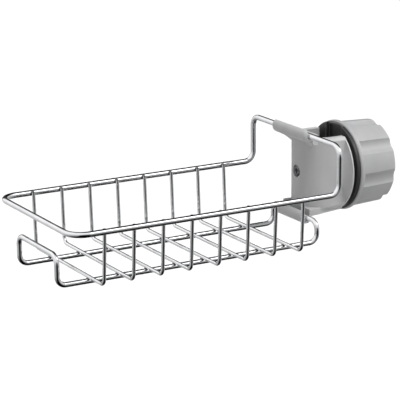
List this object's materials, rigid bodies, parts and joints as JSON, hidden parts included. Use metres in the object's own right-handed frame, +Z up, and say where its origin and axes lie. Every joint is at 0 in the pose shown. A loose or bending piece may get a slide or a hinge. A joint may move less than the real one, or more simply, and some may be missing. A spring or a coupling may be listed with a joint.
{
  "type": "sponge holder",
  "caption": "Wire sponge basket hung by two bars on a bracket that a screw clamp with a large fluted knob holds on a round tap spout.",
  "frame": {"origin": "on the axis of the spout that the clamp grips, at the height of the knob's axis", "axes": "+Z up along the spout, +X towards the knob, the basket reaches out along -X"},
  "size_m": [0.2394, 0.1034, 0.0705],
  "materials": {
    "wire_steel": "polished",
    "bracket_plastic": "satin",
    "knob_plastic": "satin",
    "fork_plastic": "moulded",
    "plate_plastic": "satin",
    "pad_rubber": "matt",
    "screw_steel": "dark plated"
  },
  "bodies": {
    "clamp": {"hook_bracket": "bracket_plastic", "clamp_fork": "fork_plastic", "seat_pad": "pad_rubber", "bracket_screw": "screw_steel"},
    "pressure": {"pressure_plate": "plate_plastic", "pressure_pad": "pad_rubber"},
    "knob": {"clamp_knob": "knob_plastic"},
    "basket": {"rim_wire": "wire_steel", "base_wire": "wire_steel", "cross_wire_1": "wire_steel", "cross_wire_2": "wire_steel", "cross_wire_3": "wire_steel", "cross_wire_4": "wire_steel", "cross_wire_5": "wire_steel", "cross_wire_6": "wire_steel", "cross_wire_7": "wire_steel", "cross_wire_8": "wire_steel"}
  },
  "joints": [
    {"name": "plate_slide", "type": "slide", "parent": "clamp", "child": "pressure", "axis": [1, 0, 0], "range_m": [-0.00131, 0.00651]},
    {"name": "knob_turn", "type": "hinge", "parent": "pressure", "child": "knob", "pos_m": [0.02, 0, 0], "axis": [1, 0, 0], "range_deg": [-117, 585]},
    {"name": "basket_lift", "type": "slide", "parent": "clamp", "child": "basket", "axis": [0, 0, 1], "range_m": [0, 0.04]}
  ],
  "couplings": [
    {"joint": "plate_slide", "follows": "knob_turn", "m_per_rad": 0.00063662}
  ]
}
